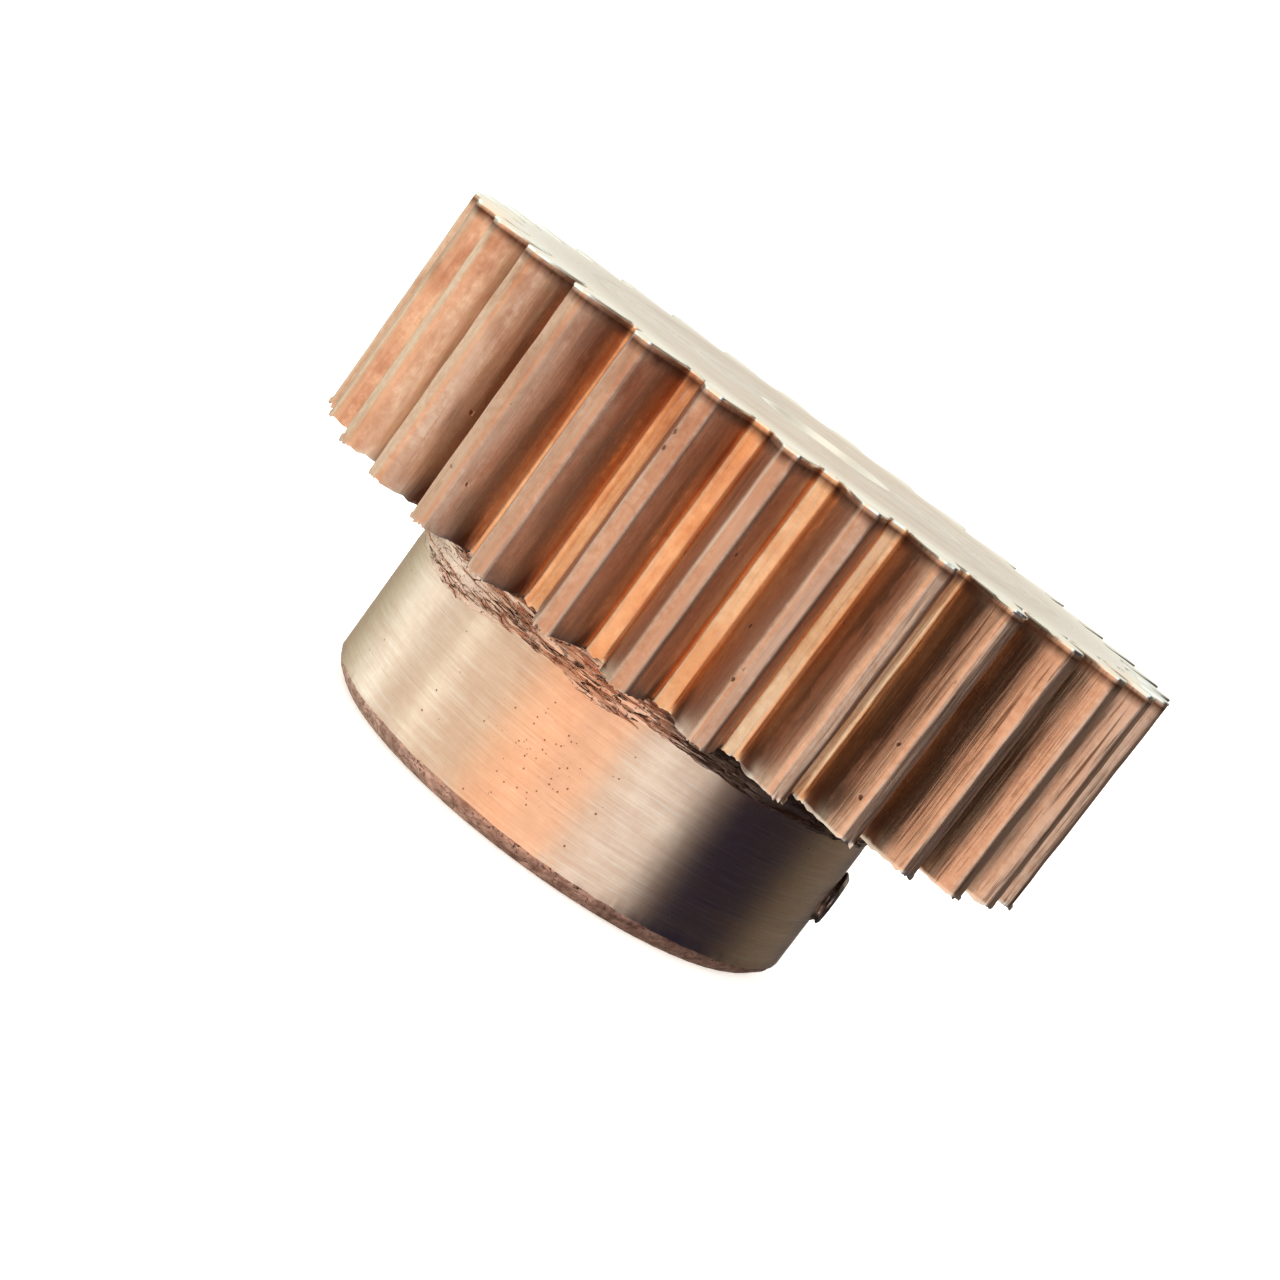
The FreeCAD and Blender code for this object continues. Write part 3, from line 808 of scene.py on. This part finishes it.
def make_wheel_mesh():
    """The whole wheel as one closed skin, from the top bore mouth round and back up the bore."""
    profile = tooth_profile()
    angles, flat_radii, _ = profile
    coarse = angles[::2]
    quarter = coarse[::4]
    skin = Skin()
    skin.start(ring(BORE_RADIUS, quarter, TOP - BORE_EDGE))
    face_radii = [BORE_RADIUS + BORE_EDGE, 4.8, 6.4, 8.4, 11, 13.5, 16, 18.5, 20.5, FACE_EDGE]
    face_rows(skin, coarse, face_radii, TOP, FACED_AT, outwards=True)
    for share in (0.35, 0.7):
        between = FACE_EDGE + (flat_radii - FACE_EDGE) * share
        skin.to(ring(between, angles, TOP), FACED_AT)
    rim_rows(skin, profile)
    for share in (0.7, 0.3):
        between = FACE_EDGE + (flat_radii - FACE_EDGE) * share - 0.1
        skin.to(ring(between, angles, RIM_BOTTOM), TORN_AT)
    hub_rows(skin, coarse)
    end_radii = [BORE_RADIUS + BORE_EDGE, 4.8, 6.4, 8.4, 11, 13.5, HUB_RADIUS - EDGE_DEPTH - 0.25]
    face_rows(skin, coarse, end_radii, 0.0, FACED_AT, outwards=False)
    for height in np.linspace(BORE_EDGE, TOP - BORE_EDGE, 18)[:-1]:
        skin.to(ring(BORE_RADIUS, quarter, height), FACED_AT)
    skin.close(FACED_AT)
    return skin.mesh("worm_wheel_bronze")


def add_object(name, mesh):
    """Puts a mesh in the scene."""
    piece = bpy.data.objects.new(name, mesh)
    bpy.context.scene.collection.objects.link(piece)
    return piece


def cut_screw_hole(wheel):
    """Drills the cross hole from the hub's surface into the bore."""
    sides = 48
    turns = np.arange(sides) * 2 * math.pi / sides
    points = []
    inner_end, outer_end = 2.0, HUB_RADIUS + 2
    for x in (inner_end, outer_end):
        points += [(x, HOLE_RADIUS * math.cos(turn), SCREW_HEIGHT + HOLE_RADIUS * math.sin(turn))
                   for turn in turns]
    faces = [list(range(sides))[::-1], list(range(sides, 2 * sides))]
    faces += [(side, (side + 1) % sides, sides + (side + 1) % sides, sides + side)
              for side in range(sides)]
    mesh = bpy.data.meshes.new("screw_hole")
    mesh.from_pydata(np.array(points) * MM, [], faces)
    for material in WHEEL_MATERIALS:
        mesh.materials.append(material)
    mesh.polygons.foreach_set("material_index", [CAST_AT] * len(faces))
    drill = add_object("screw_hole", mesh)
    cut = wheel.modifiers.new("screw_hole", "BOOLEAN")
    cut.object = drill
    cut.operation = "DIFFERENCE"
    cut.solver = "EXACT"
    bpy.context.view_layer.update()
    evaluated = wheel.evaluated_get(bpy.context.evaluated_depsgraph_get())
    cut_mesh = bpy.data.meshes.new_from_object(evaluated)
    wheel.modifiers.clear()
    wheel.data = cut_mesh
    bpy.data.objects.remove(drill)


def root_radius_at(height):
    """The hub's radius at a height, out along the fillet under the rim."""
    rise = height - (RIM_BOTTOM - HUB_FILLET)
    if rise <= 0:
        return HUB_RADIUS
    rise = min(rise, HUB_FILLET)
    return HUB_RADIUS + HUB_FILLET - math.sqrt(HUB_FILLET ** 2 - rise ** 2)


def flake(skin, chance, middle, low, length, width):
    """One torn sliver of metal lying along the root, thin and pointed at both ends.

    middle is its direction from the axis, low its height, and length and width its size in mm.
    """
    steps = 12
    drift = chance.uniform(-0.35, 0.35)
    seed = chance.uniform(0, 90)
    lift = chance.uniform(0.04, 0.17)
    curl = chance.uniform(0.0, 0.09)
    rows = []
    for step in range(steps + 1):
        share = step / steps
        turn = middle + (share - 0.5) * length / HUB_RADIUS
        jog = noise.noise(Vector((seed, share * 5, 0)))
        height = low + drift * (share - 0.5) + 0.16 * jog
        taper = math.sin(math.pi * min(max(share, 0.02), 0.98)) ** 0.7
        half = width * taper * (0.65 + 0.5 * noise.noise(Vector((seed, share * 9, 7))))
        thick = 0.03 + 0.03 * taper
        out = root_radius_at(height) + lift + curl * (2 * share - 1) ** 2
        section = [(out - thick, height + half), (out + thick, height + half * 0.7),
                   (out + thick * 1.6, height - half * 0.5), (out + thick * 0.2, height - half)]
        rows.append([(r * math.cos(turn), r * math.sin(turn), z) for r, z in section])
    base = skin.count
    skin.add(np.array([point for row in rows for point in row]))
    corners = 4
    for step in range(steps):
        for corner in range(corners):
            one = base + step * corners + corner
            two = base + step * corners + (corner + 1) % corners
            skin.face(TORN_AT, one, one + corners, two + corners, two)
    skin.face(TORN_AT, *[base + corner for corner in range(corners)])
    last = base + steps * corners
    skin.face(TORN_AT, *[last + corner for corner in reversed(range(corners))])


def make_flakes():
    """Torn slivers all round the root of the hub."""
    flake_count = 240
    chance = random.Random(5)
    skin = Skin()
    angles = np.linspace(0, 2 * math.pi, 721)
    edge = torn_edge(angles)
    for _ in range(flake_count):
        middle = chance.uniform(0, 2 * math.pi)
        lowest = float(np.interp(middle, angles, edge))
        low = chance.uniform(lowest + 0.04, RIM_BOTTOM - 0.5)
        flake(skin, chance, middle, low, chance.uniform(2.0, 8.0), chance.uniform(0.06, 0.20))
    return skin.mesh("root_flakes")


def join(target, mesh):
    """Adds a mesh's faces to a piece."""
    extra = add_object("extra", mesh)
    for material in WHEEL_MATERIALS:
        mesh.materials.append(material)
    with bpy.context.temp_override(active_object=target, selected_editable_objects=[target, extra]):
        bpy.ops.object.join()


def bright_edge_mask(depth, fibre, turn, from_corner, z):
    """Bright edges, partly worn metal and partly painted highlight: tooth corners, most on one side as a
    painted highlight, and the rim's top and lower edges.
    """
    highlight_side = np.where(turn < 0, 0.46, 0.10) * (1 - 0.5 * np.clip(fibre, 0, 1))
    edge = np.exp(-(from_corner / 0.16) ** 2) * np.clip((depth - 0.8) / 0.12, 0, 1) * highlight_side
    edge = np.maximum(edge, np.exp(-((TOP - z) / 0.15) ** 2))
    low_edge = np.exp(-(np.maximum(z - RIM_BOTTOM, 0) / (0.09 + 0.08 * fibre)) ** 2)
    return np.maximum(edge, low_edge * np.clip(0.25 + 0.9 * fibre, 0, 1))


def darkening_mask(depth, turn, from_corner, x, z):
    """Darker marks on the teeth: painted shade in a line under the top lip, darker low on the flanks, and
    darker along some corners.
    """
    under_lip = np.exp(-((TOP - 0.45 - z) / 0.16) ** 2) * 0.75
    low = np.clip((RIM_BOTTOM + 3.4 - z) / 3.0, 0, 1) ** 1.3
    dark_corner = np.exp(-(from_corner / 0.2) ** 2) * np.clip((depth - 0.75) / 0.12, 0, 1) * (turn > 0)
    dark_corner = dark_corner * np.clip((x + 3) / 8, 0, 0.5)
    darkening = np.maximum(under_lip, low * np.clip(1 - np.abs(depth - 0.28) / 0.32, 0, 1))
    return np.maximum(darkening, dark_corner)


def paint(mesh):
    """Stores the masks that the materials read on the mesh's points, each from 0 to 1."""
    count = len(mesh.vertices)
    flat = np.empty(count * 3)
    mesh.vertices.foreach_get("co", flat)
    x, y, z = flat.reshape(count, 3).T / MM
    radius = np.hypot(x, y)
    depth = np.clip((radius - ROOT_RADIUS - 0.03) / (TIP_RADIUS - ROOT_RADIUS - 0.05), 0, 1)
    # The bore's mouth is given full depth, so that the faced material paints it white as a highlight.
    bore_mouth = (radius < BORE_RADIUS + BORE_EDGE + 0.05) & (z > TOP - BORE_EDGE - 0.05)
    depth = np.where(bore_mouth, 1.0, depth)
    turn = (np.arctan2(y, x) + HALF_PITCH) % (2 * HALF_PITCH) - HALF_PITCH
    land_half = HALF_PITCH - half_gap()[2]
    from_corner = np.abs(np.abs(turn) - land_half) * TIP_RADIUS
    fibre = fibre_mask(x, y)
    edge = bright_edge_mask(depth, fibre, turn, from_corner, z)
    darkening = darkening_mask(depth, turn, from_corner, x, z)
    # Painted bounce light: an orange glow on the gap floors high on the -X teeth, which also get a
    # pinkish blush; and the far -X side, where the flanks get painted highlights and shade.
    glow_and_blush = np.clip((z - 18) / 8, 0, 0.9) * np.clip((3 - x) / 9, 0, 1)
    lit_side = np.clip((-x - 9) / 12, 0, 1)

    on_rim = (radius > ROOT_RADIUS - 0.3) & (z > RIM_BOTTOM - 1)
    in_root = (radius > HUB_RADIUS - 0.5) & (radius < ROOT_RADIUS - 0.5)
    in_root = in_root & (z > 9) & (z < RIM_BOTTOM + 0.2)
    # Painted shade on the torn band: darker up under the rim and on the +X side.
    root_shade = np.clip((z - 11.2) / 1.7, 0, 1) * 0.55 + np.clip((x - 2) / 6, 0, 0.55)
    darkening = np.maximum(darkening * on_rim, root_shade * in_root)
    masks = {"depth": depth, "edge": edge * on_rim, "darkening": darkening, "glow_and_blush": glow_and_blush * on_rim,
             "fibre": fibre * on_rim, "lit_side": lit_side * on_rim}
    for name, values in masks.items():
        layer = mesh.attributes.new(name, "FLOAT", "POINT")
        layer.data.foreach_set("value", values.astype(np.float32))


def smooth(mesh, degrees):
    """Smooth shading with edges sharper than the angle left crisp."""
    mesh.shade_smooth()
    mesh.set_sharp_from_angle(angle=math.radians(degrees))


def make_wheel():
    """The bronze wheel: its skin, cut by the screw's hole, with slivers and masks added."""
    mesh = make_wheel_mesh()
    for material in WHEEL_MATERIALS:
        mesh.materials.append(material)
    wheel = add_object("worm_wheel_bronze", mesh)
    cut_screw_hole(wheel)
    join(wheel, make_flakes())
    paint(wheel.data)
    smooth(wheel.data, 40)
    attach(wheel, "wheel")
    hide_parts("worm_wheel")
    return wheel


def make_screw_mesh():
    """Headless screw along +X: cup point, rolled thread, chamfered end with a hexagon socket."""
    columns = 48
    turns = np.arange(columns) * 2 * math.pi / columns
    length = SCREW_END - SCREW_START

    def row(radii, along):
        """A row of points round the screw's own axis."""
        radii = np.broadcast_to(radii, turns.shape)
        xs = np.broadcast_to(SCREW_START + along, turns.shape)
        return np.stack([xs, radii * np.cos(turns), SCREW_HEIGHT + radii * np.sin(turns)], axis=1)

    def thread(along):
        """Thread radius round the screw at a distance from its point, faded out at both ends."""
        phase = (along / THREAD_PITCH - turns / (2 * math.pi)) % 1.0
        wave = np.abs(2 * phase - 1)
        depth = THREAD_DEPTH * np.clip(1.25 * wave - 0.12, 0, 1)
        body = SCREW_RADIUS - depth
        point_cone = CUP_RADIUS + along * 1.3
        socket_cone = SCREW_RADIUS - 0.36 + (length - along) * 1.0
        return np.minimum(body, min(point_cone, socket_cone))

    def hexagon(across_flats, along):
        """A row of points round a hexagon."""
        sector = (turns + math.pi / 6) % (math.pi / 3) - math.pi / 6
        return row(across_flats / 2 / np.cos(sector), along)

    skin = Skin()
    skin.start(row(0.02, 0.62))
    skin.to(row(0.5, 0.36), 0)
    skin.to(row(CUP_RADIUS - 0.1, 0.02), 0)
    skin.to(row(CUP_RADIUS, 0.0), 0)
    for along in np.linspace(0.05, length - 0.03, 150):
        skin.to(row(thread(along), along), 0)
    skin.to(row(SCREW_RADIUS - 0.38, length), 0)
    skin.to(row(1.32, length), 0)
    skin.to(hexagon(SOCKET_SIZE + 0.14, length), 0)
    skin.to(hexagon(SOCKET_SIZE, length - 0.1), 0)
    skin.to(hexagon(SOCKET_SIZE, length - SOCKET_DEPTH), 0)
    skin.to(row(0.5, length - SOCKET_DEPTH - 0.15), 0)
    skin.to(row(0.02, length - SOCKET_DEPTH - 0.3), 0)
    tip = [int(index) for index in skin.first]
    socket = [int(index) for index in skin.last]
    skin.face(0, *tip[::-1])
    skin.face(0, *socket)
    return skin.mesh("set_screw_steel")


def make_screw():
    """The steel set screw, which slides with the joint's child body."""
    mesh = make_screw_mesh()
    mesh.materials.append(STEEL)
    screw = add_object("set_screw_steel", mesh)
    smooth(mesh, 35)
    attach(screw, "screw")
    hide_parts("set_screw")
    return screw


make_wheel()
make_screw()


# ---------------------------------------------------------------- floor and light

def make_floor():
    """A pale round floor that curves up into a wall all round, so every view has a plain backdrop."""
    sides = 96
    line = [(0.05, -FLOOR_GAP_M), (0.4, -FLOOR_GAP_M), (FLOOR_FLAT_M, 0.0)]
    line += [(FLOOR_FLAT_M + FLOOR_BEND_M * math.sin(lean),
              FLOOR_BEND_M - FLOOR_BEND_M * math.cos(lean))
             for lean in np.linspace(0, math.pi / 2, 20)[1:]]
    line.append((FLOOR_FLAT_M + FLOOR_BEND_M, WALL_TOP_M))
    turns = np.arange(sides) * 2 * math.pi / sides
    points = [(r * math.cos(turn), r * math.sin(turn), z) for r, z in line for turn in turns]
    faces = [list(range(sides))]
    for row in range(len(line) - 1):
        for side in range(sides):
            after = (side + 1) % sides
            faces.append([row * sides + side, (row + 1) * sides + side,
                          (row + 1) * sides + after, row * sides + after])
    mesh = bpy.data.meshes.new("floor")
    mesh.from_pydata(points, [], faces)
    mesh.shade_smooth()
    material = bpy.data.materials.new("floor_white")
    material.use_nodes = True
    shader = material.node_tree.nodes["Principled BSDF"]
    shader.inputs["Base Color"].default_value = (0.93, 0.925, 0.91, 1)
    shader.inputs["Roughness"].default_value = 0.9
    shader.inputs["Emission Color"].default_value = (1, 0.995, 0.98, 1)
    shader.inputs["Emission Strength"].default_value = 0.40
    mesh.materials.append(material)
    floor = add_object("floor", mesh)
    floor.visible_glossy = False
    floor.visible_shadow = False


def make_surround():
    """Soft studio surround. Azimuth 0 is behind the camera and grows to the camera's right."""
    world = bpy.data.worlds.new("studio")
    bpy.context.scene.world = world
    world.use_nodes = True
    tree = world.node_tree
    background = tree.nodes["Background"]
    place = tree.nodes.new("ShaderNodeTexCoord")
    turn = tree.nodes.new("ShaderNodeVectorRotate")
    turn.rotation_type = "Z_AXIS"
    turn.inputs["Angle"].default_value = -CAMERA_AZIMUTH
    tree.links.new(place.outputs["Generated"], turn.inputs["Vector"])
    parts = tree.nodes.new("ShaderNodeSeparateXYZ")
    tree.links.new(turn.outputs["Vector"], parts.inputs["Vector"])
    away = times(tree, parts.outputs["Y"], -1.0)
    azimuth = combine(tree, "ARCTAN2", parts.outputs["X"], away)
    share = add_all(tree, times(tree, azimuth, 0.5 / math.pi), 0.5)

    # Each band is an azimuth in degrees and a colour: those near the camera are the same at every
    # height, and the far ones differ below and above the horizon.
    shared = [
        (-122, (0.96, 1.24, 1.30)), (-106, (1.28, 1.70, 1.86)), (-96, (0.80, 0.94, 0.98)),
        (-82, (0.84, 0.98, 1.00)), (-74, (1.32, 1.70, 1.78)), (-66, (0.90, 0.98, 0.98)),
        (-46, (0.90, 0.92, 0.86)), (-36, (1.10, 0.92, 0.75)), (-18, (1.32, 1.00, 0.80)),
        (-10, (1.06, 0.90, 0.77)), (2, (1.26, 1.04, 0.86)), (12, (0.94, 1.02, 1.04)),
        (26, (1.06, 1.28, 1.42)), (40, (0.98, 1.16, 1.28)),
    ]
    below = [(-176, (0.38, 0.35, 0.28)), (-152, (0.38, 0.38, 0.29)), (-136, (0.60, 0.75, 0.64))]
    below += shared
    below += [(54, (0.16, 0.17, 0.19)), (64, (0.006, 0.010, 0.045)), (100, (0.008, 0.010, 0.035)),
              (118, (0.09, 0.095, 0.085)), (142, (0.11, 0.11, 0.095)), (158, (0.04, 0.045, 0.06)),
              (178, (0.34, 0.32, 0.26))]
    above = [(-178, (0.94, 0.94, 0.88)), (-136, (0.94, 0.96, 0.90)), (-104, (1.08, 1.22, 1.22)),
             (-88, (0.92, 1.00, 0.97)), (-73, (1.10, 1.28, 1.27)), (-60, (0.94, 0.98, 0.94))]
    above += [(degrees, shade) for degrees, shade in shared if degrees > -50]
    above += [(53, (0.20, 0.18, 0.17)), (60, (0.06, 0.06, 0.075)), (90, (0.09, 0.09, 0.09)),
              (106, (0.20, 0.195, 0.165)), (122, (0.36, 0.35, 0.29)), (150, (0.80, 0.79, 0.73)),
              (178, (0.94, 0.94, 0.88))]
    low = ramp(tree, share, [(0.5 + degrees / 360, shade) for degrees, shade in below])
    high = ramp(tree, share, [(0.5 + degrees / 360, shade) for degrees, shade in above])

    def rising(low_end, high_end):
        """0 below one height of view and 1 above another."""
        node = tree.nodes.new("ShaderNodeMapRange")
        node.inputs["From Min"].default_value = low_end
        node.inputs["From Max"].default_value = high_end
        tree.links.new(parts.outputs["Z"], node.inputs["Value"])
        return node.outputs["Result"]

    colour = mix_colour(tree, rising(-0.03, 0.05), low, high)
    overhead, zenith = (0.80, 0.79, 0.75), (1.15, 1.14, 1.08)
    colour = mix_colour(tree, rising(0.50, 0.80), colour, overhead)
    colour = mix_colour(tree, rising(0.90, 0.98), colour, zenith)
    tree.links.new(colour, background.inputs["Color"])
    background.inputs["Strength"].default_value = 1.0
    world.cycles.sampling_method = "AUTOMATIC"


def add_overhead_light():
    """A wide soft box over the floor; the metal shows the surround instead of it."""
    data = bpy.data.lights.new("overhead", "AREA")
    data.shape = "DISK"
    data.size = LAMP_SIZE_M
    data.energy = 2.4
    data.color = (1.0, 0.99, 0.97)
    light = bpy.data.objects.new("overhead", data)
    bpy.context.scene.collection.objects.link(light)
    light.location = (0, 0, LAMP_HEIGHT_M)
    light.visible_glossy = False


make_floor()
make_surround()
add_overhead_light()
bpy.context.scene.view_settings.view_transform = "Standard"
